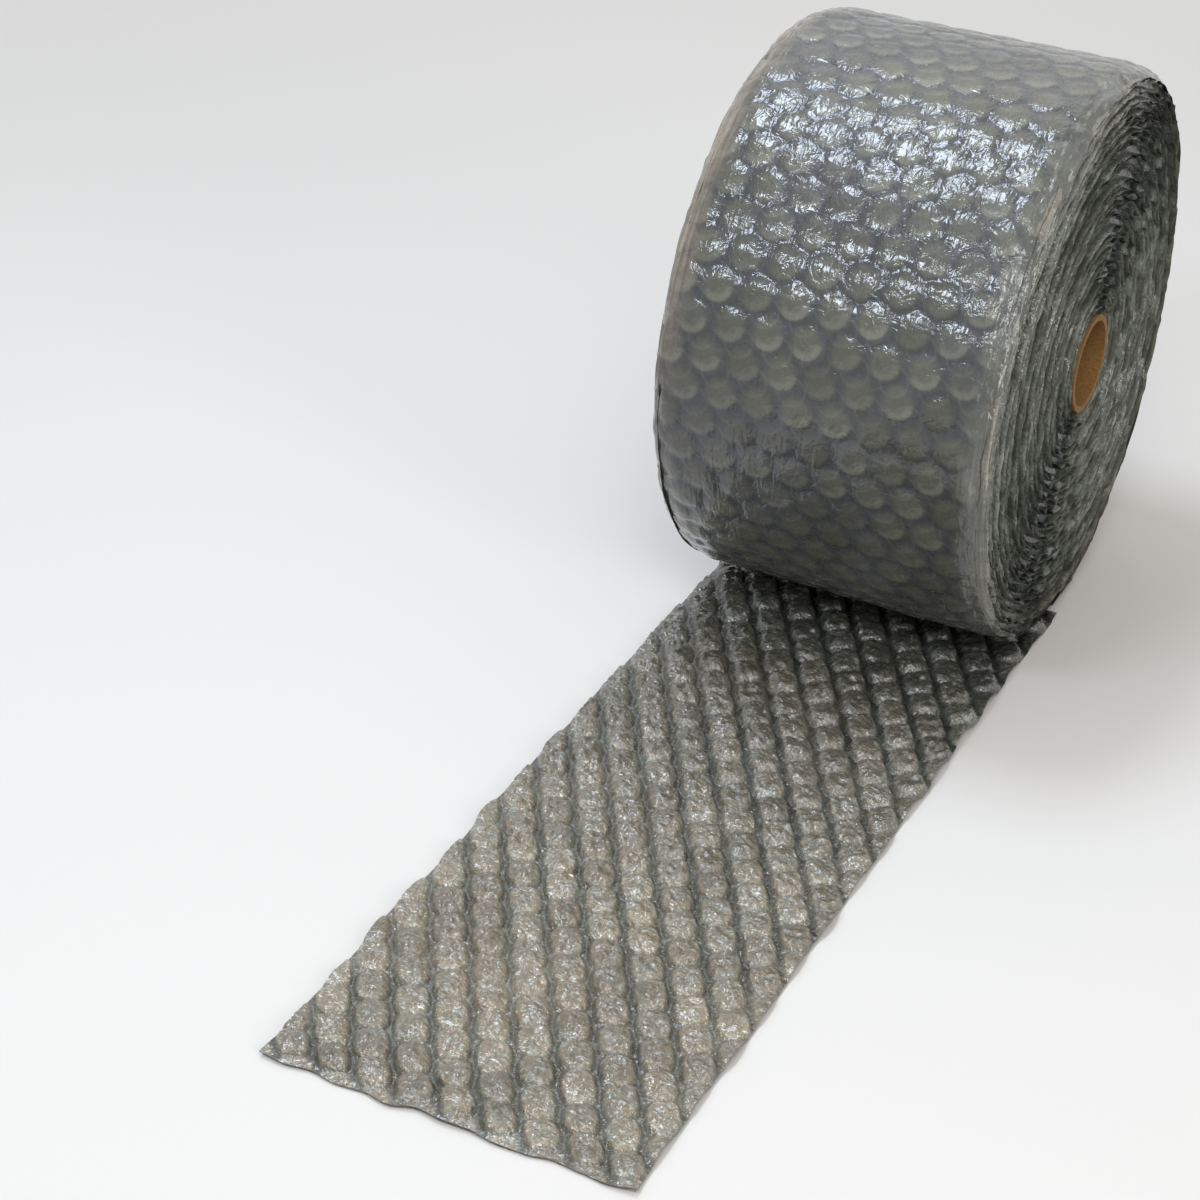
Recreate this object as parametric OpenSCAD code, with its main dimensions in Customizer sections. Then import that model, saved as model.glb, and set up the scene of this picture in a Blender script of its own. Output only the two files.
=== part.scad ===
// Roll of large-bubble wrap on a cardboard core, partly unrolled.
// Units are millimetres. The roll's axis lies along X, the loose length
// runs along the floor towards -Y, and +Z is up.

/* [Cardboard core] */
// bore of the core
core_bore_d = 76.2; // [60:0.1:100]
// wall of the core
core_wall = 5; // [2:0.5:12]

/* [Web] */
// width of the web and of the core
web_w = 305; // [250:1:620]
// thickness of the flat film between the bubbles
film_t = 0.8; // [0.5:0.1:2]
// length of web that lies loose in front of the roll's axis
tail_len = 873; // [500:1:1500]
// bare film between the last row's centre and the cut end
end_margin = 23; // [16:1:60]

/* [Bubbles] */
// diameter of a bubble
bubble_d = 30; // [20:0.5:32]
// height of a bubble on the loose length, above the film
bubble_h = 11.5; // [6:0.5:13]
// distance between the bubbles of a row
bubble_pitch = 34; // [32.5:0.1:44]
// height of a bubble that the slit edge cuts, as a share of a whole one
cut_share = 0.55; // [0.2:0.05:0.9]
// height of the swell of the flat film over each bubble on the roll
swell_h = 1.8; // [0.6:0.1:4]

/* [Roll] */
// diameter of the roll, measured level with its axis
roll_d = 508; // [380:1:620]
// turns of web on the core
turn_count = 21; // [15:1:26]
// depth of the soft flat where the roll lies
flat_sag = 3.2; // [0.5:0.1:6]
// width over which a squeezed bubble bears on the next turn
bear_w = 6; // [2:0.5:12]
// clearance between the core and the innermost turn
core_gap = 0.3; // [0.1:0.1:0.9]
// how far some turns stand back from the others at the ends of the roll
stand_back = 4; // [1:0.5:8]
// one in so many turns stands back
back_every = 3; // [2:1:6]
// how far the slack rim of the outermost turn stands back
rim_back = 8; // [2:0.5:14]

/* [Hidden] */
$fn = 48;

// ripple of the loose film from row to row
ripple = 0.15;
// depths of a squeezed bubble's top and of the valley between two, as shares
// of the way to the next turn
crest = 0.86;
valley = 0.2;

core_r = core_bore_d / 2;
core_or = core_r + core_wall;
roll_r = roll_d / 2;
row_pitch = bubble_pitch * sqrt(3) / 2;
bubble_r = bubble_d / 2;

// the web's outer face starts at r0 and climbs by one pitch each turn
r0 = core_or + core_gap + film_t;
pitch = (roll_r - r0) / (turn_count - 0.5);
r_end = r0 + pitch * turn_count;
axis_z = r_end - flat_sag;

// length of the web's outer face up to a turn, and the turn at a length
function spiral_len(t) = 2 * PI * (r0 * t + pitch * t * t / 2);
function turn_at(s) = (sqrt(r0 * r0 + pitch * s / PI) - r0) / pitch;
s_end = spiral_len(turn_count);
s_last = spiral_len(turn_count - 1);

// the flat at the bottom fades out towards the core
function sag_at(r) = flat_sag * max(0, r - core_or) / (r_end - core_or);
function pressed(r, a) = sin(a) < -0.5 ? min(r, (r - sag_at(r)) / -sin(a)) : r;
function polar(r, a) = [pressed(r, a) * cos(a), axis_z + pressed(r, a) * sin(a)];

// angle and radius of the web; it leaves the roll at the floor, at -90 degrees
function ang_at(s) = -90 + 360 * (turn_count - turn_at(s));
function rad_at(s) = r0 + pitch * turn_at(s);

// outer face of the web, and a point at a depth d below it (1 is the next turn in)
function out_pt(s) = s <= s_end ? polar(rad_at(s), ang_at(s)) : [s_end - s, 0];
function under_z(y) =
    let (r = r_end - pitch)
    max(axis_z - r + sag_at(r), axis_z - sqrt(r * r - y * y));
function in_pt(s, d) = s <= s_end
    ? polar(rad_at(s) - film_t - d * (pitch - film_t), ang_at(s))
    : [s_end - s, film_t + d * (under_z(s_end - s) - film_t)];

// rows of bubbles are counted back from the cut end
function row_s(k) = s_end + tail_len - end_margin - k * row_pitch;

// rows that lie free in front of the roll, and all rows up to the second turn
nip_y = sqrt(pow(r_end - pitch, 2) - pow(axis_z - film_t - bubble_h - 0.5, 2));
loose_rows = floor((tail_len - end_margin - nip_y) / row_pitch) + 1;
all_rows = floor((tail_len - end_margin + s_end - spiral_len(1.05)) / row_pitch);
outer_rows = loose_rows + ceil((s_end - s_last) / row_pitch) + 1;

// The turns part between the squeezed bubbles and bear on each other at a
// few rows, one in each eighth of a turn, that wander from turn to turn.
function eighth(k) =
    let (a = turn_at(row_s(k)) * 8)
    floor(a + 0.28 * sin(floor(a / 8) * 137));
bearing_rows = [
    for (k = [loose_rows + 1:1:all_rows]) if (eighth(k) != eighth(k - 1)) k
];

// section of the gap from one bearing row to the next: the squeezed bubbles
// on one side of it, and the film of the next turn on the other
function gap_pts(a, b) = concat(
    [in_pt(row_s(a) - bear_w / 2, 1)],
    [for (k = [a:1:b - 1]) each [
        if (k > a) in_pt(row_s(k), crest),
        in_pt(row_s(k) - row_pitch / 2, valley)
    ]],
    [in_pt(row_s(b) + bear_w / 2, 1)],
    [for (k = [b - 1:-1:a + 1]) in_pt(row_s(k), 1)]
);

// the loose length meets the roll at the first squeezed row
nip_s = row_s(loose_rows);

outline = concat(
    [[-tail_len, 0], [0, 0]],
    [for (k = [loose_rows:1:outer_rows])
        let (s = row_s(k) - row_pitch / 2)
        if (s < s_end && s > s_last + row_pitch) out_pt(s)],
    [[s_end - nip_s - bear_w / 2, under_z(s_end - nip_s - bear_w / 2)]],
    [for (k = [loose_rows:-1:1]) [s_end - row_s(k) - row_pitch / 2, film_t - ripple * (k % 2)]],
    [[-tail_len, film_t]]
);

module section() {
    difference() {
        polygon(outline);
        for (i = [0:1:len(bearing_rows) - 2]) {
            polygon(gap_pts(bearing_rows[i], bearing_rows[i + 1]));
        }
        translate([0, axis_z])
        circle(r = core_or + core_gap, $fn = 96);
    }
}

// Section of a turn of the wound web, most of the way round. It is bounded by
// the gap outside it and the gap inside it, half way between film and bubble.
function rows_between(a, b) = [
    for (k = [loose_rows + 1:1:all_rows]) let (t = turn_at(row_s(k))) if (t > a && t < b) k
];
function along_gap(a, b) = [for (k = rows_between(a, b)) in_pt(row_s(k), (1 + crest) / 2)];
function reversed(list) = [for (i = [len(list) - 1:-1:0]) list[i]];
function turn_pts(t, span) = concat(along_gap(t + 1, t + 1 + span), reversed(along_gap(t, t + span)));

// section of the outermost turn, from clear of the loose length round to the front
function rim_pts(a, b) = concat(
    [for (k = rows_between(a, b)) polar(rad_at(row_s(k)) + pitch / 2, ang_at(row_s(k)))],
    reversed(along_gap(a, b))
);

module set_back(pts, by, end_x) {
    translate([end_x, 0, 0])
    rotate([90, 0, 90])
    linear_extrude(height = 2 * by, center = true)
    polygon(pts);
}

// Turns that stand back at one end. Where each begins wanders round the roll.
// The turn under the slack rim stands back at both ends.
module uneven_end(first, end_x) {
    for (t = [first:back_every:turn_count - 3]) {
        start = t + 0.5 + 0.4 * sin(t * 73);
        set_back(turn_pts(start, 0.8), stand_back, end_x);
    }
    set_back(turn_pts(turn_count - 1.93, 0.86), rim_back / 2, end_x);
    set_back(rim_pts(turn_count - 0.94, turn_count - 0.08), rim_back, end_x);
}

module wound_web() {
    difference() {
        rotate([90, 0, 90])
        linear_extrude(height = web_w, center = true)
        section();
        uneven_end(2, web_w / 2);
        uneven_end(3, -web_w / 2);
    }
}

// form of a bubble and of a swell, as shares of their radius and height, from
// the film up
bubble_form = [[1, 0], [0.96, 0.38], [0.76, 0.76], [0.4, 1]];
swell_form = [[1, 0], [0.55, 1]];

// stack of tapered rings of radius r and height h, sunk a little into the film
module dome(form, r, h) {
    sunk = film_t / 2;
    for (i = [0:1:len(form) - 2]) {
        low = form[i][1] * h - (i == 0 ? sunk : 0);
        translate([0, 0, low])
        cylinder(h = form[i + 1][1] * h - low, r1 = form[i][0] * r, r2 = form[i + 1][0] * r);
    }
}

// places across the web of one row's bubbles, every second row shifted
function row_xs(k, r) =
    let (shift = k % 2 == 0 ? 0 : bubble_pitch / 2, n = ceil(web_w / bubble_pitch / 2) + 1)
    [for (i = [-n:1:n]) let (x = i * bubble_pitch + shift) if (abs(x) - r < web_w / 2 - 3) x];

// one bubble across the web at x; one that the slit edge cuts is lower
module bubble(x) {
    if (abs(x) + bubble_r < web_w / 2 - 0.5) {
        translate([x, 0, 0])
        dome(bubble_form, bubble_r, bubble_h);
    } else {
        intersection() {
            translate([x, 0, 0])
            dome(bubble_form, bubble_r, bubble_h * cut_share);
            cube([web_w - 1, 4 * bubble_r, 4 * bubble_h], center = true);
        }
    }
}

loose_places = [
    for (k = [0:1:loose_rows - 1]) for (x = row_xs(k, bubble_r)) [k, x]
];

module loose_bubbles() {
    for (p = loose_places) {
        translate([0, s_end - row_s(p[0]), film_t])
        bubble(p[1], $fn = 24);
    }
}

// the flat film swells out over each whole bubble of the outer turn
swell_r = bubble_r - 1;
facets = [
    for (k = [loose_rows:1:outer_rows])
        let (a = out_pt(row_s(k) + row_pitch / 2), b = out_pt(row_s(k) - row_pitch / 2))
        if (min(a[1], b[1]) > 2 * swell_h && row_s(k) > s_last + 1.5 * row_pitch)
            [k, (a + b) / 2, atan2(b[1] - a[1], b[0] - a[0]) + 180]
];
swell_places = [
    for (f = facets) for (x = row_xs(f[0], swell_r)) if (abs(x) + swell_r < web_w / 2 - rim_back) [f, x]
];

module swells() {
    for (p = swell_places) {
        translate([p[1], p[0][1][0], p[0][1][1]])
        rotate([p[0][2], 0, 0])
        dome(swell_form, swell_r, swell_h, $fn = 24);
    }
}

// The origin is the middle of the part's box. Its back is the edge of a swell's
// top, on the facet of the roll that reaches farthest.
function facet_reach(f) = f[1][0] - sin(f[2]) * swell_h + abs(cos(f[2])) * swell_form[1][0] * swell_r;
depth_back = max([for (f = facets) if (-sin(f[2]) > 0.9) facet_reach(f)]);
mid_y = (tail_len - depth_back) / 2;

module cardboard_core() {
    color("peru")
    translate([0, mid_y, axis_z])
    rotate([0, 90, 0])
    difference() {
        cylinder(r = core_or, h = web_w, center = true, $fn = 96);
        cylinder(r = core_r, h = web_w + 2, center = true, $fn = 96);
    }
}

module bubble_web() {
    color("darkseagreen")
    translate([0, mid_y, 0])
    union() {
        wound_web();
        loose_bubbles();
        swells();
    }
}

cardboard_core();
bubble_web();
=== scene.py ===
"""Looks of a roll of large-bubble wrap with a loose length. All lengths are in metres."""
import math

import bpy
import numpy as np
from mathutils import Matrix, Vector


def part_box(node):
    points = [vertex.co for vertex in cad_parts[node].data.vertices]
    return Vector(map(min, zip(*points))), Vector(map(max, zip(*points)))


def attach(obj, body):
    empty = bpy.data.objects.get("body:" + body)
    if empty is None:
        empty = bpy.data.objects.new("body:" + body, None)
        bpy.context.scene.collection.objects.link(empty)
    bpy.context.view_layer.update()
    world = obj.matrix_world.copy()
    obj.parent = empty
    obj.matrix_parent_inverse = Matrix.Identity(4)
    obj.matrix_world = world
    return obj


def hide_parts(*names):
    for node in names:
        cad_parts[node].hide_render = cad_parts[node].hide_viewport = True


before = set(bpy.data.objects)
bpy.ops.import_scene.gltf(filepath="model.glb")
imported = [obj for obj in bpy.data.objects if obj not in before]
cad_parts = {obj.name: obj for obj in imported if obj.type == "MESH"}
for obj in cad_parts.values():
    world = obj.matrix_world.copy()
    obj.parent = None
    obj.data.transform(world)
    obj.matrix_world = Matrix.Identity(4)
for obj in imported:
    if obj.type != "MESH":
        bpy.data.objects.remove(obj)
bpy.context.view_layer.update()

# Sizes of the model, the same as in the part's source
WEB_W, FILM, TAIL, END_MARGIN = 0.305, 0.0008, 0.873, 0.023
BUB_R, BUB_H, PITCH_X = 0.015, 0.0115, 0.034
ROLL_D, TURNS, SAG, CORE_OR, CORE_GAP = 0.508, 21, 0.0032, 0.0431, 0.0003
PITCH_S = PITCH_X * math.sqrt(3) / 2
R0 = CORE_OR + CORE_GAP + FILM
STEP_R = (ROLL_D / 2 - R0) / (TURNS - 0.5)
R_END = R0 + STEP_R * TURNS
HALF = WEB_W / 2
core_lo, core_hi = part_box("cardboard_core")
MID_Y = (core_lo.y + core_hi.y) / 2
AXIS_Z = (core_lo.z + core_hi.z) / 2


def spiral_len(t):
    """Length of the wound web up to turn t."""
    return 2 * math.pi * (R0 * t + STEP_R * t * t / 2)


def turn_at(s):
    return (np.sqrt(R0 * R0 + STEP_R * s / math.pi) - R0) / STEP_R


def angle_at(t):
    return np.radians(-90 + 360 * (TURNS - t))


# Where the wound web ends and its last turn begins. A place on the flat web is x
# across it and q along it, counted from the row of bubbles next to the cut end.
S_END = spiral_len(TURNS)
S_LAST = spiral_len(TURNS - 1)
Q_END = TAIL - END_MARGIN


def smooth(lo, hi, v):
    t = np.clip((v - lo) / (hi - lo), 0, 1)
    return t * t * (3 - 2 * t)


# Smooth random fields, the same on each run
TABLE = 256
_tables = [np.random.default_rng(90 + i).random((TABLE, TABLE)) for i in range(10)]


def noise(u, v, seed):
    """Smooth noise from -1 to 1, with one wave or so to each unit of u and v."""
    table = _tables[seed % 10]
    shift = 37 * (seed // 10)
    iu, iv = np.floor(u).astype(int), np.floor(v).astype(int)
    fu, fv = u - iu, v - iv
    fu, fv = fu * fu * (3 - 2 * fu), fv * fv * (3 - 2 * fv)

    def at(a, b):
        return table[(iu + a + shift) % TABLE, (iv + b + shift) % TABLE]

    low = at(0, 0) * (1 - fu) + at(1, 0) * fu
    high = at(0, 1) * (1 - fu) + at(1, 1) * fu
    return (low * (1 - fv) + high * fv) * 2 - 1


def turned(u, v, by):
    return u * math.cos(by) - v * math.sin(by), u * math.sin(by) + v * math.cos(by)


def layered(u, v, seed, octaves=3):
    """Noise with finer and weaker layers on it."""
    total, size = 0, 1
    for i in range(octaves):
        a, b = turned(u, v, 0.6 + i)
        total = total + size * noise(a * 2 ** i, b * 2 ** i, seed + 3 * i)
        size *= 0.5
    return total


def ridged(u, v, seed, octaves=2):
    """Sharp creases: 1 along a crease, down to 0 away from it."""
    total, size, whole = 0, 1, 0
    for i in range(octaves):
        a, b = turned(u, v, 1.1 + 1.7 * i)
        total = total + size * (1 - np.abs(noise(a * 2 ** i, b * 2 ** i, seed + 5 * i)))
        whole += size
        size *= 0.5
    return total / whole


# Random values from 0 to 1 for each bubble, and the names of their places
ROWS_KEPT, PLACES_KEPT = 1024, 32
_bubble_random = np.random.default_rng(7).random((ROWS_KEPT, PLACES_KEPT, 8))
FEW, MANY, FEW_TURN, MANY_TURN, WOBBLE, TALL, LEAN = range(7)


def nearest(q, x):
    """The nearest bubble: distances from its centre, its row and its own random values."""
    ka = 2 * np.round(q / (2 * PITCH_S)).astype(int)
    ia = 2 * np.round(x / PITCH_X).astype(int)
    kb = 2 * np.floor(q / (2 * PITCH_S)).astype(int) + 1
    ib = 2 * np.floor(x / PITCH_X).astype(int) + 1
    qa, xa = q - ka * PITCH_S, x - ia * PITCH_X / 2
    qb, xb = q - kb * PITCH_S, x - ib * PITCH_X / 2
    near_a = qa * qa + xa * xa <= qb * qb + xb * xb
    k, i = np.where(near_a, ka, kb), np.where(near_a, ia, ib)
    dq, dx = np.where(near_a, qa, qb), np.where(near_a, xa, xb)
    return dq, dx, k, _bubble_random[k % ROWS_KEPT, i % PLACES_KEPT]


def nearest_pucker(q, x):
    """Distances from the nearest point where three bubbles meet, and its own random values."""
    qa, xa, _, rnd_a = nearest(q - PITCH_S / 3, x - PITCH_X / 2)
    qb, xb, _, rnd_b = nearest(q + PITCH_S / 3, x - PITCH_X / 2)
    near_a = qa ** 2 + xa ** 2 <= qb ** 2 + xb ** 2
    rnd = np.where(near_a[..., None], rnd_a, 1 - rnd_b)
    return np.where(near_a, qa, qb), np.where(near_a, xa, xb), rnd


# Half the size of a squeezed loose bubble, across its column and along it. For its
# colour it counts as longer, so the film stays pale between the bubbles of a column.
COLUMN_WIDE, COLUMN_LONG, COLUMN_SEEN, SQUARENESS = 0.0135, 0.0173, 0.0187, 3.2


def column_share(dq, dx, reach):
    """Share of a loose bubble's radius. They touch along columns, 30 degrees off the length."""
    along = -dq * math.cos(math.pi / 6) + dx / 2
    across = dq / 2 + dx * math.cos(math.pi / 6)
    total = (np.abs(along) / reach) ** SQUARENESS + (np.abs(across) / COLUMN_WIDE) ** SQUARENESS
    return total ** (1 / SQUARENESS)


# Times a random value from 0 to 1 it is an angle, about once all the way round
ROUND = 6.3


def star(dq, dx, rnd):
    """Radial creases around a centre, from -1 to 1."""
    theta = np.arctan2(dq, dx)
    few = 4 + np.floor(rnd[..., FEW] * 3)
    many = 7 + np.floor(rnd[..., MANY] * 5)
    wobble = 0.6 * np.sin(theta + ROUND * rnd[..., WOBBLE])
    sharp = 1 - 2 * np.abs(np.sin(few * theta / 2 + ROUND * rnd[..., FEW_TURN] + wobble))
    return 0.6 * sharp + 0.4 * np.cos(many * theta + ROUND * rnd[..., MANY_TURN])


def rim_drop(edge, q):
    """How far the slack rim of the outer turns rolls in, by the distance from the slit edge."""
    slack = np.clip(1 - edge / 0.030, 0, 1)
    return slack ** 2 * (0.0095 + 0.0028 * noise(q * 7, 3, 2))


def pressed(r, a):
    """The soft flat at the bottom, as in the part's source."""
    sag = SAG * np.maximum(0, r - CORE_OR) / (R_END - CORE_OR)
    low = np.sin(a) < -0.5
    return np.where(low, np.minimum(r, (r - sag) / np.where(low, -np.sin(a), 1)), r)


def place(x, r, a):
    """Points at x along the roll's axis, and at radius r and angle a round it."""
    r = pressed(r, a)
    return np.stack([x, MID_Y + r * np.cos(a), AXIS_Z + r * np.sin(a)], -1)


def grid(rows, row_range, columns):
    """Two arrays of rows by columns: a value along the web, and -1 to 1 across it."""
    return np.meshgrid(np.linspace(*row_range, rows), np.linspace(-1, 1, columns), indexing="ij")


class Sheets:
    """Collects grids of points into one mesh, with values kept at each point."""

    def __init__(self):
        self.points, self.faces, self.values, self.count = [], [], {}, 0

    def add(self, pts, flip=False, close=False, **values):
        n, m = pts.shape[:2]
        idx = np.arange(n * m).reshape(n, m) + self.count
        if close:
            idx = np.concatenate([idx, idx[:, :1]], 1)
        quad = [idx[:-1, :-1], idx[1:, :-1], idx[1:, 1:], idx[:-1, 1:]]
        if flip:
            quad.reverse()
        self.faces.append(np.stack(quad, -1).reshape(-1, 4))
        self.points.append(pts.reshape(-1, 3))
        for key, val in values.items():
            self.values.setdefault(key, []).append(np.broadcast_to(val, (n, m)).reshape(-1))
        self.count += n * m

    def build(self, name, material):
        pts, faces = np.concatenate(self.points), np.concatenate(self.faces)
        mesh = bpy.data.meshes.new(name)
        mesh.vertices.add(len(pts))
        mesh.vertices.foreach_set("co", pts.astype(np.float32).ravel())
        mesh.loops.add(faces.size)
        mesh.loops.foreach_set("vertex_index", faces.astype(np.int32).ravel())
        mesh.polygons.add(len(faces))
        mesh.polygons.foreach_set("loop_start", np.arange(0, faces.size, 4, dtype=np.int32))
        mesh.update(calc_edges=True)
        for key, parts in self.values.items():
            layer = mesh.attributes.new(key, "FLOAT", "POINT")
            layer.data.foreach_set("value", np.concatenate(parts).astype(np.float32))
        mesh.validate()
        mesh.shade_smooth()
        mesh.materials.append(material)
        piece = bpy.data.objects.new(name, mesh)
        bpy.context.scene.collection.objects.link(piece)
        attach(piece, "root")
        return piece


# Materials
def srgb(r, g, b):
    """A colour from its values of 0 to 255, as the shaders take it."""
    return tuple(((c / 255 + 0.055) / 1.055) ** 2.4 if c > 10 else c / 255 / 12.92 for c in (r, g, b))


class Nodes:
    """Short calls for building a node tree."""

    def __init__(self, name):
        self.mat = bpy.data.materials.new(name)
        self.mat.use_nodes = True
        self.tree = self.mat.node_tree
        self.shader = self.tree.nodes["Principled BSDF"]

    def link(self, value, socket):
        if isinstance(value, bpy.types.NodeSocket):
            self.tree.links.new(value, socket)
        elif isinstance(value, tuple) and len(socket.default_value) == 4:
            socket.default_value = value + (1.0,)
        else:
            socket.default_value = value

    def math(self, op, a, b=0.0):
        node = self.tree.nodes.new("ShaderNodeMath")
        node.operation = op
        self.link(a, node.inputs[0])
        self.link(b, node.inputs[1])
        return node.outputs[0]

    def times(self, product, *others):
        for other in others:
            product = self.math("MULTIPLY", product, other)
        return product

    def vec(self, op, a, b=(0.0, 0.0, 0.0), scale=None):
        node = self.tree.nodes.new("ShaderNodeVectorMath")
        node.operation = op
        self.link(a, node.inputs[0])
        self.link(b, node.inputs[1])
        if scale is not None:
            self.link(scale, node.inputs["Scale"])
        return node.outputs["Value" if op in ("LENGTH", "DOT_PRODUCT") else "Vector"]

    def attr(self, name):
        node = self.tree.nodes.new("ShaderNodeAttribute")
        node.attribute_name = name
        return node.outputs["Fac"]

    def combine(self, x, y, z=0.0):
        node = self.tree.nodes.new("ShaderNodeCombineXYZ")
        for i, v in enumerate((x, y, z)):
            self.link(v, node.inputs[i])
        return node.outputs[0]

    def noise(self, vector, scale, detail=2.0, rough=0.5, distort=0.0, colour=False):
        node = self.tree.nodes.new("ShaderNodeTexNoise")
        self.link(vector, node.inputs["Vector"])
        node.inputs["Scale"].default_value = scale
        node.inputs["Detail"].default_value = detail
        node.inputs["Roughness"].default_value = rough
        node.inputs["Distortion"].default_value = distort
        return node.outputs["Color" if colour else "Fac"]

    def ramp(self, value, lo, hi, out_lo=0.0, out_hi=1.0):
        node = self.tree.nodes.new("ShaderNodeMapRange")
        node.interpolation_type = "SMOOTHSTEP"
        for i, v in enumerate((value, lo, hi, out_lo, out_hi)):
            self.link(v, node.inputs[i])
        return node.outputs[0]

    def band(self, value, rise, fall, top=1.0):
        """Up from 0 over the range rise, and back from top to 0 over the range fall."""
        return self.times(self.ramp(value, *rise), self.ramp(value, *fall, top, 0.0))

    def mix(self, fac, a, b, mode="MIX"):
        node = self.tree.nodes.new("ShaderNodeMix")
        node.data_type, node.blend_type = "RGBA", mode
        self.link(fac, node.inputs["Factor"])
        self.link(a, node.inputs[6])
        self.link(b, node.inputs[7])
        return node.outputs[2]

    def mix_f(self, fac, a, b):
        node = self.tree.nodes.new("ShaderNodeMix")
        node.data_type = "FLOAT"
        for i, v in ((0, fac), (2, a), (3, b)):
            self.link(v, node.inputs[i])
        return node.outputs[0]

    def random(self, vector):
        node = self.tree.nodes.new("ShaderNodeTexWhiteNoise")
        node.noise_dimensions = "3D"
        self.link(vector, node.inputs["Vector"])
        return node.outputs["Value"]

    def bump(self, height, distance, strength=1.0, normal=None):
        node = self.tree.nodes.new("ShaderNodeBump")
        node.inputs["Strength"].default_value = strength
        node.inputs["Distance"].default_value = distance
        self.link(height, node.inputs["Height"])
        if normal is not None:
            self.link(normal, node.inputs["Normal"])
        return node.outputs["Normal"]

    def position(self):
        return self.tree.nodes.new("ShaderNodeTexCoord").outputs["Object"]

    def crackle(self, vector, scale):
        """Flat facets with sharp creases between them, as in crumpled film."""
        warp = self.vec("SCALE", self.noise(vector, scale * 0.8, 1, colour=True), scale=1.4)
        node = self.tree.nodes.new("ShaderNodeTexVoronoi")
        node.feature = "F1"
        node.inputs["Scale"].default_value = 1.0
        self.link(self.vec("ADD", self.vec("SCALE", vector, scale=scale), warp), node.inputs["Vector"])
        return node.outputs["Distance"]

    def lattice(self, dq=0.0, dx=0.0):
        """Share of a bubble's radius, direction from its centre and its own number, from q and x."""
        q = self.math("SUBTRACT", self.attr("web_q"), dq)
        x = self.math("SUBTRACT", self.attr("web_x"), dx)
        p = self.combine(self.math("DIVIDE", x, PITCH_X), self.math("DIVIDE", q, 2 * PITCH_S))
        half = self.vec("ADD", p, (0.5, 0.5, 0.0))
        cell_a = self.vec("FLOOR", half)
        cell_b = self.vec("ADD", self.vec("FLOOR", p), (0.5, 0.5, 0.0))
        size = (PITCH_X / BUB_R, 2 * PITCH_S / BUB_R, 0.0)
        da = self.vec("MULTIPLY", self.vec("SUBTRACT", p, cell_a), size)
        db = self.vec("MULTIPLY", self.vec("SUBTRACT", p, cell_b), size)
        la, lb = self.vec("LENGTH", da), self.vec("LENGTH", db)
        second = self.math("LESS_THAN", lb, la)
        d = self.mix(second, da, db)
        cell = self.mix(second, cell_a, cell_b)
        return self.math("MINIMUM", la, lb), self.vec("NORMALIZE", d), cell

    def fan(self, direction, cell, turns):
        """Uneven spokes around a centre, 0 to 1."""
        spoke = self.vec("SCALE", direction, scale=turns)
        return self.noise(self.vec("ADD", spoke, self.vec("SCALE", cell, scale=5.7)), 1.0, 1.5, 0.6)


# Colours of the film: painted shade far into the gaps between the turns, a painted highlight on the edges
# of their rims, and where it is warm or slack
DEEP_SHADE_FILM, LIT_LIP_FILM = srgb(84, 92, 86), srgb(152, 155, 146)
WARM_FILM, SLACK_FILM = srgb(152, 138, 122), srgb(92, 95, 88)
# Colours of the light on it: from the turn below, in arcs, and as small marks
LIT_BELOW, ARC_HIGHLIGHT, NICK_GLINT = srgb(122, 124, 116), srgb(146, 147, 132), srgb(186, 189, 182)
CREASE_GLINT, SMEAR_GLINT, STROKE_GLINT = srgb(184, 186, 176), srgb(182, 184, 176), srgb(214, 218, 212)


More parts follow.
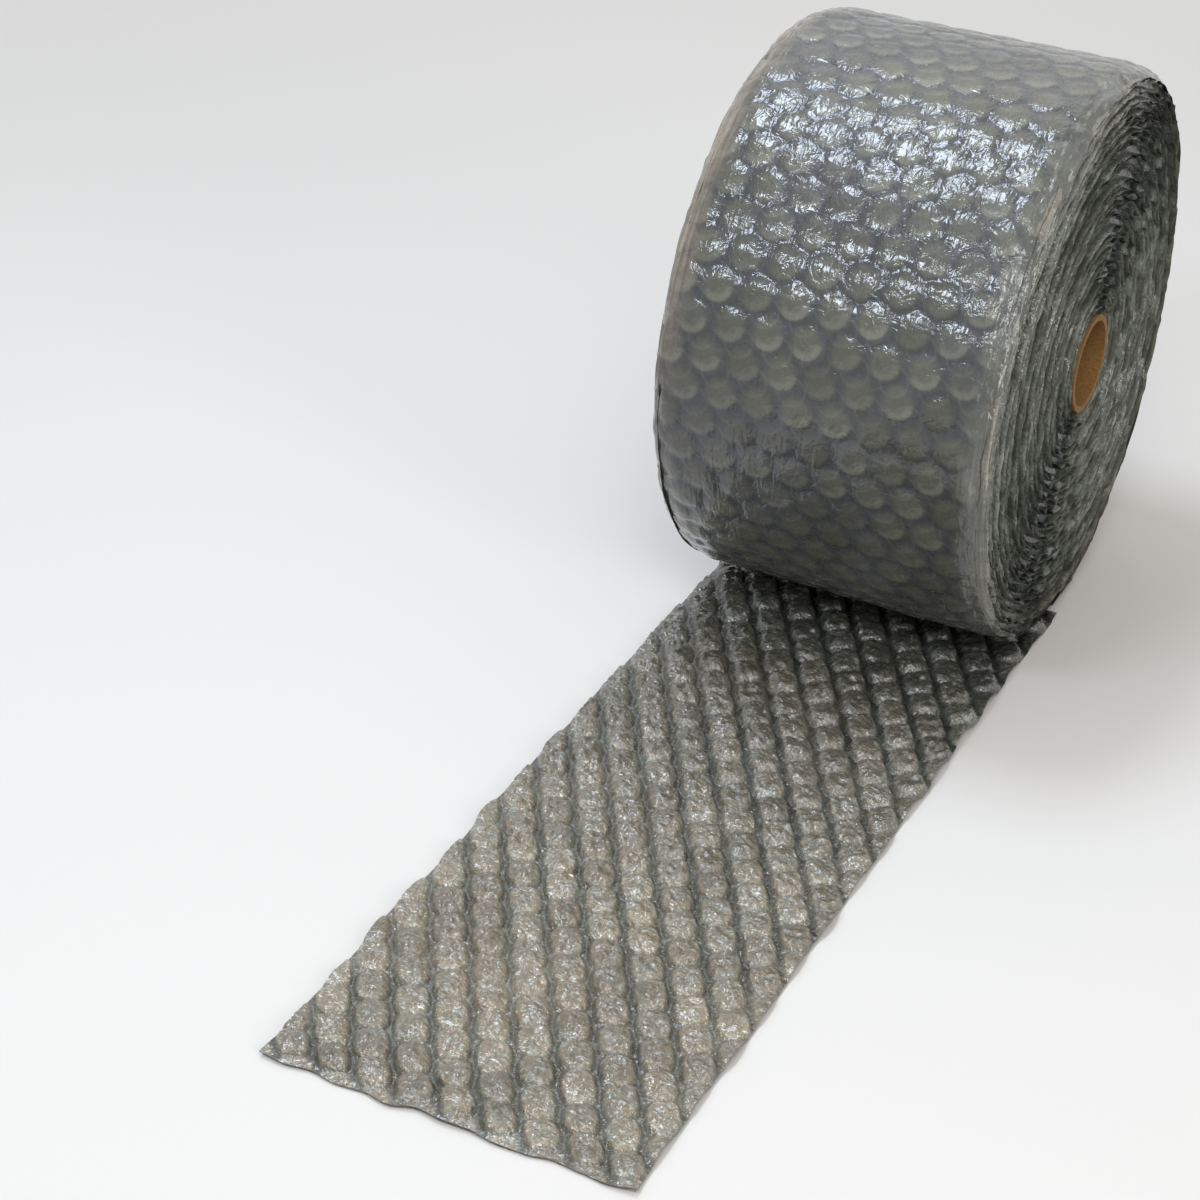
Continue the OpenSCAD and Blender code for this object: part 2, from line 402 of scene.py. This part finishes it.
class Film(Nodes):
    """Nodes of the web's film: its bubbles, the patterns that vary it, and its features."""

    def __init__(self, name, own_rho):
        super().__init__(name)
        self.rho, self.direction, self.cell = self.lattice()
        if own_rho:
            self.rho = self.attr("rho")
        self.own = self.random(self.vec("ADD", self.cell, (0.25, 0.25, 3.0)))
        self.pos = self.position()
        self.up = self.vec("DOT_PRODUCT", self.pos, (0.0, 0.0, 1.0))
        self.blotch = self.noise(self.pos, 75, 3, 0.6, 0.8)
        self.broad = self.noise(self.pos, 14, 2, 0.5)
        self.patch = self.noise(self.vec("ADD", self.pos, (3.0, 1.0, 2.0)), 9, 2, 0.5)
        self.fine = self.noise(self.pos, 420, 3, 0.65, 1.2)
        self.spokes = self.fan(self.direction, self.cell, 3.4)

    def stretched(self, x_scale, q_scale):
        """Place on the flat web, with its own scale across and along it."""
        x, q = self.attr("web_x"), self.attr("web_q")
        return self.combine(self.times(x, x_scale), self.times(q, q_scale))

    def turn_below(self, colour, gap, strength):
        """A second, shifted lattice, for the bubbles of the turn below that show through, with a painted
        highlight in a band inside their rims.
        """
        below, _, _ = self.lattice(PITCH_S * 0.42, PITCH_X * 0.31)
        seen = self.ramp(self.patch, 0.3, 0.7, strength, 0.3 * strength)
        colour = self.mix(self.times(self.ramp(below, 0.84, 0.96), seen), colour, gap)
        return self.mix(self.band(below, (0.66, 0.8), (0.84, 0.92), 0.5 * strength), colour, LIT_BELOW)

    def spoke_shade(self, strength):
        """Painted light and shade: light and dark spokes, and a painted highlight in a thin ring at the
        bubble's rim.
        """
        streak = self.times(self.ramp(self.spokes, 0.3, 0.7, -0.12, 0.12), self.ramp(self.rho, 0.25, 0.9))
        ring = self.band(self.rho, (0.86, 0.95), (0.98, 1.06))
        ring = self.times(ring, self.ramp(self.spokes, 0.4, 0.65, 0.0, 0.22))
        return self.math("ADD", 1.0, self.times(self.math("ADD", streak, ring), strength))

    def painted_arc_highlight(self, colour, strength):
        """A painted highlight: a pale arc in each bubble, on the lower side at the roll's front, weaker low
        on the roll.
        """
        low_side = self.ramp(self.vec("DOT_PRODUCT", self.direction, (0.3, 0.95, 0.0)), -0.1, 0.8)
        arc = self.times(self.band(self.rho, (0.35, 0.72), (0.82, 1.0)), low_side)
        arc = self.times(arc, self.ramp(self.own, 0, 1, 0.35, 1.0))
        arc = self.times(arc, self.ramp(self.up, 0.06, 0.32, 0.45 * strength, strength))
        return self.mix(arc, colour, ARC_HIGHLIGHT)

    def slack_rim(self, colour, strength):
        """Plain film at the slack rim, with painted glints in small pale nicks, most of them at mid height.
        """
        slack = self.attr("slack")
        colour = self.mix(self.times(slack, strength), colour, SLACK_FILM)
        nicks = self.ramp(self.noise(self.stretched(270, 75), 1.0, 2, 0.6, 0.6), 0.56, 0.7)
        by_height = self.times(self.ramp(self.up, 0.28, 0.38, 0.2, 0.75),
                               self.ramp(self.up, 0.42, 0.5, 1.0, 0.4))
        return self.mix(self.times(self.times(nicks, slack), by_height), colour, NICK_GLINT)

    def glints(self, colour, inside, strength):
        """Painted glints: pale creases, smears and short strokes of light on the crumpled bubbles."""
        creases = self.math("ABSOLUTE", self.math("SUBTRACT", self.noise(self.pos, 130, 2, 0.5, 1.6), 0.5))
        uneven = self.ramp(self.blotch, 0.4, 0.6, 0.2, 1.0)
        colour = self.mix(self.times(self.ramp(creases, 0.0, 0.02, 0.4, 0.0), uneven), colour, CREASE_GLINT)
        smears = self.noise(self.vec("MULTIPLY", self.pos, (1.0, 1.7, 1.0)), 88, 3, 0.55, 1.3)
        smears = self.times(self.ramp(smears, 0.55, 0.7, 0.0, 0.5), inside)
        colour = self.mix(smears, colour, SMEAR_GLINT)
        strokes = self.noise(self.vec("MULTIPLY", self.pos, (0.5, 1.5, 1.2)), 290, 2, 0.6, 1.6)
        strokes = self.times(self.ramp(strokes, 0.59, 0.66), self.ramp(self.own, 0, 1, 0.4, 1.0))
        strokes = self.times(strokes, self.ramp(inside, 0.0, 0.7, 0.3 * strength, strength))
        return self.mix(strokes, colour, STROKE_GLINT)

    def ply_shade(self):
        """Thin light and dark lines where many plies lie together at the warm rims."""
        plies = self.noise(self.stretched(420, 7), 1.0, 2)
        return self.math("ADD", 1.0, self.times(self.ramp(plies, 0.4, 0.6, -0.35, 0.35), self.attr("warm")))

    def spoke_relief(self, height):
        """Creases that run out from each bubble's centre."""
        return self.times(self.times(self.spokes, self.ramp(self.rho, 0.15, 0.8)), height)

    def pucker_relief(self, height):
        """Folds that run out from where three bubbles meet, at full height on the roll's top alone."""
        r1, d1, c1 = self.lattice(PITCH_S / 3, PITCH_X / 2)
        r2, d2, c2 = self.lattice(-PITCH_S / 3, PITCH_X / 2)
        second = self.math("LESS_THAN", r2, r1)
        near = self.math("MINIMUM", r1, r2)
        centre = self.mix(second, c1, self.vec("ADD", c2, (0.0, 0.0, 0.4)))
        folds = self.ramp(self.fan(self.mix(second, d1, d2), centre, 1.9), 0.3, 0.7)
        folds = self.times(folds, self.band(near, (0.03, 0.45), (0.6, 1.25)))
        folds = self.times(folds, self.ramp(self.broad, 0.35, 0.6, 0.4, 1.0))
        folds = self.times(folds, self.ramp(self.up, 0.39, 0.46, 0.3, 1.0))
        return self.times(folds, height)

    def drawn_relief(self, height):
        """Fine lines along the web, where it is drawn tight."""
        lines = self.noise(self.stretched(170, 34), 1.0, 1.5, 0.5, 0.9)
        return self.times(lines, self.ramp(self.blotch, 0.35, 0.6, 0.3, 1.0), height)

    def crumple_relief(self, height):
        """Facets of two sizes, as in crumpled film."""
        facets = self.math("ADD", self.crackle(self.pos, 170), self.times(self.crackle(self.pos, 390), 0.4))
        return self.times(facets, height)


def film_material(name, gap, inner, tint, haze, dark_in, roughness, rim=(0.7, 1.12), own_rho=False,
                  contrast=0.15, below=0.0, streaks=1.0, arc=0.0, painted_side_light=0.0, plain_rim=0.0, glints=0.0,
                  spoke=0.0004, pucker=0.0, drawn=0.0, crumple=0.0, grain=0.0005, gloss=0.5, coat=1.0):
    """Thin, glossy, crumpled film.

    The colour gap lies between bubbles and inner inside them, and rim holds the shares of a
    bubble's radius where one passes into the other, which own_rho takes from the mesh. tint
    lies in small blotches and haze in broad patches, and dark_in is the painted shade far into
    the gaps between turns. contrast is how much bubbles differ in shade. From below to glints
    are strengths of what is drawn on the film, much of it painted light and shade, and from
    spoke to grain heights of relief in metres.
    """
    n = Film(name, own_rho)
    inside = n.ramp(n.rho, *rim, 1.0, 0.0)
    colour = n.mix(inside, gap, inner)
    colour = n.mix(n.ramp(n.blotch, 0.42, 0.66, 0.0, 0.5), colour, tint)
    colour = n.mix(n.ramp(n.patch, 0.45, 0.65, 0.0, 0.4), colour, haze)
    if below:
        colour = n.turn_below(colour, gap, below)
    warm = n.times(n.attr("warm"), n.ramp(n.blotch, 0.25, 0.6, 0.5, 0.9))
    colour = n.mix(warm, colour, WARM_FILM)
    # painted shade: darker far into the gaps between turns, where the outer turn's sheet starts under its
    # end, and on the loose length towards and under the roll
    colour = n.mix(n.times(n.attr("deep"), 0.7), colour, DEEP_SHADE_FILM)
    # painted highlight: the film's edges at the roll's ends are lighter
    lip = n.times(n.attr("lip"), n.ramp(n.blotch, 0.3, 0.6, 0.4, 1.0))
    colour = n.mix(lip, colour, LIT_LIP_FILM)
    if arc:
        colour = n.painted_arc_highlight(colour, arc)
    if plain_rim:
        colour = n.slack_rim(colour, plain_rim)
    if glints:
        colour = n.glints(colour, inside, glints)

    shade = n.times(n.ramp(n.own, 0, 1, 1 - contrast, 1 + contrast), n.ramp(n.broad, 0.3, 0.7, 0.88, 1.1))
    shade = n.times(shade, n.spoke_shade(streaks))
    # painted light: the sides of the loose bubbles are lighter, standing in for light that passes through
    # the film
    if painted_side_light:
        side = n.band(n.rho, (0.5, 0.86), (0.95, 1.04))
        shade = n.times(shade, n.math("ADD", 1.0, n.times(side, painted_side_light)))
    shade = n.times(shade, n.ramp(n.fine, 0.3, 0.7, 0.9, 1.1))
    # painted light: on the roll the film is lighter towards the bottom, standing in for light that passes
    # through it
    if plain_rim:
        shade = n.times(shade, n.ramp(n.up, 0.02, 0.17, 1.35, 1.0))
    # dark_in makes the painted shade far into the gaps between turns darker still, as a factor on the shade
    shade = n.times(shade, n.ply_shade(), n.mix_f(n.attr("deep"), 1.0, dark_in))
    colour = n.mix(1.0, colour, n.combine(shade, shade, shade), "MULTIPLY")
    n.link(colour, n.shader.inputs["Base Color"])

    relief = 0.0
    for height, form in ((spoke, n.spoke_relief), (pucker, n.pucker_relief),
                         (drawn, n.drawn_relief), (crumple, n.crumple_relief)):
        if height:
            relief = n.math("ADD", relief, form(height))
    normal = n.bump(relief, 1.0)
    n.link(normal, n.shader.inputs["Coat Normal"])
    n.link(n.bump(n.fine, grain, 0.5, normal), n.shader.inputs["Normal"])
    n.link(n.ramp(n.blotch, 0.3, 0.7, roughness - 0.06, roughness + 0.14), n.shader.inputs["Roughness"])
    n.shader.inputs["Specular IOR Level"].default_value = gloss
    n.shader.inputs["IOR"].default_value = 1.5
    n.shader.inputs["Coat Weight"].default_value = coat
    n.shader.inputs["Coat Roughness"].default_value = 0.1
    n.shader.inputs["Coat IOR"].default_value = 1.55
    return n.mat


film_roll = film_material(
    "film_on_roll", gap=srgb(60, 62, 65), inner=srgb(93, 93, 79), tint=srgb(79, 80, 72),
    haze=srgb(64, 67, 76), dark_in=0.4, roughness=0.3, rim=(0.5, 1.15), contrast=0.12, below=0.25,
    streaks=0.4, arc=0.42, plain_rim=0.75, spoke=0.0, pucker=0.00045, drawn=0.0008, grain=0.0002, gloss=0.2)
film_loose = film_material(
    "film_loose", gap=srgb(68, 62, 48), inner=srgb(129, 116, 95), tint=srgb(99, 108, 97),
    haze=srgb(118, 107, 88), dark_in=0.35, roughness=0.26, rim=(0.74, 1.0), own_rho=True, painted_side_light=0.35,
    glints=0.8, crumple=0.0009, grain=0.0003, gloss=0.4)
film_end = film_material(
    "film_at_ends", gap=srgb(106, 108, 98), inner=srgb(114, 114, 100), tint=srgb(96, 102, 94),
    haze=srgb(100, 102, 92), dark_in=0.7, roughness=0.28, crumple=0.0008, gloss=0.35, coat=0.6)


def board_material():
    """Brown board with fibres, clouds and the spiral seam of its outer ply."""
    seam_rise = 0.11
    n = Nodes("core_board")
    pos = n.position()
    parts = n.tree.nodes.new("ShaderNodeSeparateXYZ")
    n.link(pos, parts.inputs[0])
    angle = n.math("ARCTAN2", n.math("SUBTRACT", parts.outputs["Z"], AXIS_Z),
                   n.math("SUBTRACT", parts.outputs["Y"], MID_Y))
    along = n.math("DIVIDE", parts.outputs["X"], seam_rise)
    seam = n.math("PINGPONG", n.math("ADD", n.math("DIVIDE", angle, 2 * math.pi), along), 0.5)
    fibre = n.noise(n.vec("MULTIPLY", pos, (1.0, 3.0, 3.0)), 260, 4, 0.65)
    cloud = n.noise(pos, 30, 3)
    colour = n.mix(n.ramp(fibre, 0.3, 0.7), srgb(122, 84, 40), srgb(157, 115, 62))
    colour = n.mix(n.ramp(cloud, 0.3, 0.7, 0.0, 0.35), colour, srgb(138, 102, 58))
    colour = n.mix(n.ramp(seam, 0.0, 0.012, 0.6, 0.0), colour, srgb(96, 66, 34))
    n.link(colour, n.shader.inputs["Base Color"])
    n.shader.inputs["Roughness"].default_value = 0.82
    n.link(n.bump(fibre, 0.0004, 0.6), n.shader.inputs["Normal"])
    return n.mat


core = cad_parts["cardboard_core"]
core.data.materials.clear()
core.data.materials.append(board_material())


# Outer turn
def outer_relief(q, x, edge):
    """Height of the outer turn's film over the smooth spiral."""
    dq, dx, _, rnd = nearest(q, x)
    rho = np.hypot(dq, dx) / BUB_R
    whole = smooth(0.0, 0.004, HALF - np.abs(x - dx) - BUB_R * 0.9)
    band = smooth(0.010, 0.034, edge)
    strong = smooth(-0.5, 0.6, layered(q * 6, x * 5, 8))
    swell_h = 0.0007 + 0.0011 * rnd[..., TALL] * strong
    seam_h, crease_h = 0.0002, 0.0001
    height = swell_h * np.clip(1 - rho ** 2, 0, 1) ** 0.8 * (0.25 + 0.75 * whole * band)
    height -= seam_h * smooth(0.9, 1.3, rho)
    height += crease_h * star(dq, dx, rnd) * smooth(0.3, 0.9, rho)

    # puckers fan out from where three bubbles meet, round a small dip
    pq, px, rnd = nearest_pucker(q, x)
    far = np.hypot(pq, px)
    pucker_h, dip_h, dip_r = 0.00005 + 0.00012 * strong, 0.0002 + 0.0004 * rnd[..., LEAN], 0.0045
    height += pucker_h * (smooth(0.0008, 0.006, far) * smooth(0.017, 0.008, far)) * star(pq, px, rnd)
    height -= dip_h * np.exp(-(far / dip_r) ** 2)

    # slow waves, valleys between the rows, fine waves, the rolled-in rim and its creases
    wave_h, rim_wave_h, valley_h, fine_h, ripple_h = 0.0012, 0.0010, 0.0005, 0.0001, 0.0005
    height += wave_h * layered(q * 9, x * 7, 1) + rim_wave_h * layered(q * 24, x * 20, 16) * (1 - band)
    height -= valley_h * (1 - np.abs(np.cos(math.pi * q / PITCH_S))) ** 2
    height += fine_h * layered(q * 54, x * 90, 4)
    height -= rim_drop(edge, q)
    height += ripple_h * noise(q * 62, x * 40, 18) * smooth(0.0, 0.02, edge)
    slack = 1 - smooth(0.006, 0.034, edge)
    return height + slack * (0.0009 * noise(q * 24, x * 230, 3) + 0.0008 * noise(q * 80, x * 260, 6)
                             + 0.0011 * noise(q * 38, x * 60, 13))


def outer_turn():
    s, u = grid(690, (S_LAST - 0.05, S_END), 128)
    x = HALF * u
    q = S_END + Q_END - s
    t = turn_at(s)
    a = angle_at(t)
    r = R0 + STEP_R * t
    edge = HALF - np.abs(x)
    height = outer_relief(q, x, edge)

    # nothing stands proud of the flat that lies on the floor, and the slit edges are drawn in
    low = smooth(-0.75, -0.97, np.sin(a))
    height = height * (1 - low) + np.minimum(height, -0.0003) * low
    x = x - np.sign(u) * np.abs(u) ** 12 * (0.0042 + 0.0014 * noise(q * 21, 9, 5))
    pts = place(x, r + height, a)

    # the film is warmer near its rims, on the left most so high up, on the right low down
    lap = smooth(S_LAST + 0.03, S_LAST, s)
    uneven = edge + 0.005 * noise(q * 30, x * 30, 14)
    high = smooth(0.28, 0.42, AXIS_Z + r * np.sin(a))
    warm_left = (0.2 + 0.7 * high) * (1 - smooth(0.008, 0.034, uneven))
    warm_right = (0.75 - 0.35 * high) * (1 - smooth(0.004, 0.022, uneven))
    plain = 1 - smooth(0.014, 0.027, edge + 0.002 * noise(q * 40, x * 30, 15))
    sheets = Sheets()
    # painted shade where this sheet starts, tucked under the end of the outer turn
    sheets.add(pts, flip=True, web_q=q, web_x=x, deep=0.35 * lap,
               warm=np.where(x < 0, warm_left, warm_right), slack=np.where(x > 0, plain, 0))
    return sheets.build("outer_turn", film_roll)


# Ends of the roll
def stands_back(t, side):
    """1 where a turn stands back from the others at this end, as in the part's source."""
    first, every, span, fade = 2 if side > 0 else 3, 3, 0.8, 0.03
    share = 0 * t
    for turn in range(first, TURNS - 2, every):
        start = turn + 0.5 + 0.4 * math.sin(math.radians(turn * 73))
        stop = start + span
        share = np.maximum(share, smooth(start, start + fade, t) * smooth(stop, stop - fade, t))
    return share


def end_face(side, name):
    """The rims of all turns at one end: the film, the squeezed bubbles under it, and a backing painted dark
    as shade.
    """
    sheets = Sheets()
    s = np.arange(spiral_len(0.12), S_END - 0.02, 0.0037)[:, None]
    t = turn_at(s)
    a = angle_at(t)
    q = S_END + Q_END - s
    r = R0 + STEP_R * t
    seed = 20 if side > 0 else 50
    turn_no = np.floor(t)
    outer = smooth(TURNS - 1.0, TURNS - 0.9, t)
    warm = smooth(TURNS - 3.5, TURNS - 0.2, t) * 0.8
    under_rim = np.clip((t - TURNS + 6.5) / 5.5, 0, 1) ** 1.3

    # how far each rim lies behind the web's full width
    own = noise(turn_no * 3.1 + 0.37, 1.7, seed + 1)
    back = 0.0010 + 0.0033 * stands_back(t, side) + 0.0006 * own + 0.0007 * noise(q * 6, turn_no, seed + 2)
    back = back + 0.0008 * noise(q * 55, turn_no, seed + 3) + 0.0025 * smooth(TURNS - 2.0, TURNS - 1.9, t)
    back = np.clip(back, 0.0002, 0.0075)

    def sunk(depth):
        return under_rim * rim_drop(depth, q) * 0.92

    def add_strip(x, r, depth, lip):
        # painted shade darkens the film the further in from the rim it lies, and a painted highlight
        # lightens its very edge
        sheets.add(place(x, r, a), web_q=q, web_x=x, deep=smooth(0.0005, 0.008, depth), lip=lip, warm=warm)

    # the outer film of each turn, from its rim inwards
    depth = np.array([[0.0, 0.001, 0.0035, 0.0165]])
    loose = np.exp(-depth / 0.006)
    wave = 0.0016 * noise(q * 70, depth * 120 + turn_no, seed + 4)
    wave = wave + 0.0012 * noise(q * 150, depth * 160, seed + 5)
    add_strip(side * (HALF - back - outer * 0.0015 - depth),
              r - 0.0006 - sunk(depth) + wave * (0.35 + 0.65 * loose) * (1 - 0.6 * outer),
              depth, np.array([[1.0, 0.55, 0.0, 0.0]]))

    # the squeezed bubbles under it, as shares of the way to the next turn
    row = np.round(q / PITCH_S)
    phase = q / PITCH_S - row
    even = (row % 2 == 0)
    arch = np.clip(1 - np.abs(phase * 2) ** 2.4, 0, 1)
    depth = np.array([[0.0, 0.001, 0.0035, 0.008, 0.0165]])
    crush = 0.62 + 0.3 * noise(row * 1.7, turn_no * 1.3 + seed, seed + 6)
    sealed = smooth(0.001, 0.007, depth)
    full = np.where(even, 0.35 + 0.65 * sealed, 0.95 - 0.2 * sealed)
    valley, crest = 0.10, 0.86
    frac = valley + (crest - valley) * arch * full * np.where(even, 1.0, crush)
    frac = frac + 0.12 * noise(q * 120, depth * 90 + row, seed + 7)
    frac = frac + 0.06 * noise(q * 240, depth * 200, seed + 8)
    frac = np.clip(frac, 0.05, 0.97)
    back = back + 0.0009 * noise(q * 90, turn_no + 5, seed + 9) + 0.001 * arch * np.where(even, 0.2, 1.0)
    add_strip(side * (HALF - np.clip(back, 0.0002, 0.008) - depth),
              r - FILM - frac * (STEP_R - FILM) * (1 - 0.35 * under_rim) - sunk(depth),
              depth, np.array([[0.8, 0.4, 0.0, 0.0, 0.0]]))

    # the backing, a lumpy disc that closes the gaps between the turns, with painted shade that makes it
    # dark
    backing = 0.0098
    ang = np.linspace(0, 2 * math.pi, 181)[:-1][None, :]
    rad = np.linspace(CORE_OR + 0.0005, R_END - STEP_R * 1.25, 22)[:, None]
    lump = 0.0016 * noise(rad * 160, ang * 14, seed + 4)
    sheets.add(place(side * (HALF - backing + lump), rad, ang), close=True,
               web_q=rad, web_x=0.0, deep=0.8, lip=0.0, warm=0.0)
    return sheets.build(name, film_end)


# Loose length
def loose_bubbles(q, x):
    """Height of the loose bubbles over the film, and shares of their radius for form and for colour."""
    dq, dx, row, rnd = nearest(q, x)
    rho = column_share(dq, dx, COLUMN_LONG)
    cut = 1 - smooth(0.0, 0.003, HALF - np.abs(x - dx) - BUB_R * 0.95)
    tall = BUB_H * (0.72 + 0.22 * rnd[..., TALL]) * (1 - 0.5 * cut) * (row >= 0)
    dome = np.clip(1 - np.clip(rho, 0, 1) ** 4.2, 0, 1) ** 0.7
    tilt = 1 + 0.22 * np.clip(rho, 0, 1) * np.cos(np.arctan2(dq, dx) - ROUND * rnd[..., LEAN])
    moved_q, moved_x = q * 85 + rnd[..., MANY_TURN] * 3, x * 85 + rnd[..., WOBBLE] * 3
    crumple = 1 - 0.34 * ridged(moved_q, moved_x, 1) ** 3
    crumple = crumple + 0.12 * layered(q * 120, x * 120, 2) - 0.16 * ridged(q * 190, x * 190, 7, 1) ** 2
    creased = 1 + 0.10 * star(dq, dx, rnd) * smooth(0.3, 0.9, rho)
    return tall * dome * tilt * crumple * creased, rho, column_share(dq, dx, COLUMN_SEEN)


def loose_length():
    y, u = grid(500, (-TAIL, 0.0), 172)
    x = HALF * u
    q = y + Q_END
    z, rho, seen_rho = loose_bubbles(q, x)
    edge = HALF - np.abs(x)
    end_gap = y + TAIL

    # the film lifts a little off the floor, most at the slit edges and the cut end
    lift = 0.0011 + 0.0009 * layered(q * 11, x * 12, 6)
    lift = lift + (1 - smooth(0.0, 0.02, edge)) * (0.0016 + 0.0016 * noise(q * 22, x * 8, 7))
    lift = lift + smooth(0.06, 0.0, end_gap) * (0.002 + 0.002 * noise(q * 30, x * 26, 8))
    lift = lift + 0.00035 * layered(q * 90, x * 90, 9) * smooth(0.8, 1.1, rho)
    z = FILM + z + np.clip(lift, 0, 0.01) * smooth(-0.05, -0.16, y)

    # under the roll it is squeezed flat
    r = R_END - STEP_R
    sag = SAG * (r - CORE_OR) / (R_END - CORE_OR)
    under = np.maximum(AXIS_Z - r + sag, AXIS_Z - np.sqrt(np.maximum(r * r - y * y, 0)))
    under = np.where(np.abs(y) < r, under, 1.0)
    z = np.minimum(z, np.maximum(under - 0.0012, FILM))

    # uneven slit edges and cut end
    x = x - np.sign(u) * np.abs(u) ** 6 * (0.0018 + 0.0016 * noise(q * 34, 1, 12)) * smooth(-0.02, -0.08, y)
    ragged = 0.5 + 0.5 * noise(u * 7, 2, 13)
    y = y + (0.002 + 0.006 * ragged) * smooth(0.05, 0.0, end_gap)
    pts = np.stack([x, MID_Y + y, z], -1)
    # painted shade: darker towards and under the roll
    deep = 0.35 * smooth(-0.62, -0.30, y) + 0.55 * smooth(-0.34, -0.08, y)
    sheets = Sheets()
    sheets.add(pts, flip=True, web_q=q, web_x=x, rho=seen_rho, deep=deep, warm=0.0)

    def round_the_rim(values):
        return np.concatenate([values[:, 0], values[-1, 1:], values[-2::-1, -1], values[0, -2:0:-1]])

    # the edges turn down by the film's thickness
    rim, rim_q = round_the_rim(pts), round_the_rim(q)
    foot = rim.copy()
    foot[:, 2] = np.maximum(rim[:, 2] - FILM, 0)
    sheets.add(np.stack([rim, foot]), close=True, flip=True, web_q=rim_q, web_x=rim[:, 0],
               rho=1.1, deep=0.0, warm=0.0)
    return sheets.build("loose_length", film_loose)


pieces = [outer_turn(), end_face(1, "end_turns_right"), end_face(-1, "end_turns_left"), loose_length()]
for piece in pieces:
    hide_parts("bubble_web")


# Stage
# colour of the air, and its strength as light, as the camera sees it and as gloss does
AIR, AIR_LIGHT, AIR_SEEN, AIR_GLOSS = (0.985, 0.985, 0.99), 0.36, 0.9, 0.74
# colour of the floor as it is seen, and as it lights the object
FLOOR_SEEN, FLOOR_LIGHT = (0.85, 0.825, 0.785), (0.42, 0.42, 0.42)


def air_level(tree, light):
    """Strength of the air's colour for the ray that meets it."""
    rays, value = tree.nodes.new("ShaderNodeLightPath"), None
    for ray, strength in (("Is Camera Ray", AIR_SEEN), ("Is Glossy Ray", AIR_GLOSS)):
        node = tree.nodes.new("ShaderNodeMath")
        node.operation = "MULTIPLY_ADD"
        tree.links.new(rays.outputs[ray], node.inputs[0])
        node.inputs[1].default_value = strength - light
        node.inputs[2].default_value = light
        if value is not None:
            tree.links.new(value, node.inputs[2])
        value = node.outputs[0]
    return value


def studio_floor(half, z):
    mesh = bpy.data.meshes.new("studio_floor")
    corners = [(-half, -half, z), (half, -half, z), (half, half, z), (-half, half, z)]
    mesh.from_pydata(corners, [], [(0, 1, 2, 3)])
    n = Nodes("studio_floor")
    path = n.tree.nodes.new("ShaderNodeLightPath")
    seen = n.math("MAXIMUM", path.outputs["Is Camera Ray"], path.outputs["Is Glossy Ray"])
    # far from the object, where the lamps don't reach, the floor is as pale as the air behind it
    far = n.ramp(n.vec("LENGTH", n.position()), 1.2, 3.6)
    colour = n.mix(seen, FLOOR_LIGHT, n.mix(far, FLOOR_SEEN, (0.0, 0.0, 0.0)))
    n.link(colour, n.shader.inputs["Base Color"])
    n.link(AIR, n.shader.inputs["Emission Color"])
    n.link(n.times(far, air_level(n.tree, 0.0)), n.shader.inputs["Emission Strength"])
    n.shader.inputs["Roughness"].default_value = 0.9
    n.shader.inputs["Specular IOR Level"].default_value = 0.1
    mesh.materials.append(n.mat)
    obj = bpy.data.objects.new("studio_floor", mesh)
    bpy.context.scene.collection.objects.link(obj)


studio_floor(12, -0.0002)

scene = bpy.context.scene
scene.view_settings.view_transform = "Standard"
world = bpy.data.worlds.new("studio_air")
world.use_nodes = True
sky = world.node_tree.nodes["Background"]
sky.inputs["Color"].default_value = AIR + (1.0,)
world.node_tree.links.new(air_level(world.node_tree, AIR_LIGHT), sky.inputs["Strength"])
scene.world = world

# Lamps, all turned to the middle of the roll: name, place from there, size, power and colour
LAMPS = [
    ("top_box", (-0.7, 0.05, 2.4), (1.0, 0.5), 25, (0.74, 0.84, 1.0)),
    ("back_box", (-0.5, 1.6, 2.1), (2.4, 1.6), 9, (1.0, 0.97, 0.92)),
    ("front_box", (-0.78, -2.26, 1.97), (0.75, 0.40), 17, (0.76, 0.86, 1.0)),
    ("camera_box", (0.9, -2.6, 2.6), (2.0, 1.6), 20, (1.0, 0.98, 0.94)),
    ("soft_box", (-0.2, -0.9, 3.0), (2.4, 1.6), 8, (1.0, 0.97, 0.92)),
    ("glint_box", (0.85, -2.15, 2.1), (0.5, 0.6), 9, (1.0, 0.99, 0.97)),
    ("end_box", (2.7, -1.5, 1.1), (0.9, 1.5), 22, (0.97, 0.98, 1.0)),
]
roll_mid = Vector((0, MID_Y, AXIS_Z))
for name, offset, size, power, colour in LAMPS:
    lamp = bpy.data.lights.new(name, "AREA")
    lamp.shape, lamp.size, lamp.size_y = "RECTANGLE", size[0], size[1]
    lamp.energy, lamp.color = power, colour
    lamp_obj = bpy.data.objects.new(name, lamp)
    lamp_obj.location = roll_mid + Vector(offset)
    lamp_obj.rotation_euler = (roll_mid - lamp_obj.location).to_track_quat("-Z", "Y").to_euler()
    scene.collection.objects.link(lamp_obj)

# Camera at the photograph's angle
CAMERA_AT, LENS = (0.7772, -1.9798, 1.4214), 90.58
az, el, roll = math.radians(25.32), math.radians(31.38), math.radians(2.36)
back = Vector((math.sin(az) * math.cos(el), -math.cos(az) * math.cos(el), math.sin(el)))
level = Vector((math.cos(az), math.sin(az), 0))
upright = back.cross(level)
right = level * math.cos(roll) + upright * math.sin(roll)
up = upright * math.cos(roll) - level * math.sin(roll)
cam = bpy.data.cameras.new("photo_view")
cam.lens, cam.sensor_width, cam.sensor_fit = LENS, 36, "HORIZONTAL"
cam_obj = bpy.data.objects.new("photo_view", cam)
cam_obj.matrix_world = Matrix.Translation(CAMERA_AT) @ Matrix((right, up, back)).transposed().to_4x4()
scene.collection.objects.link(cam_obj)
scene.camera = cam_obj
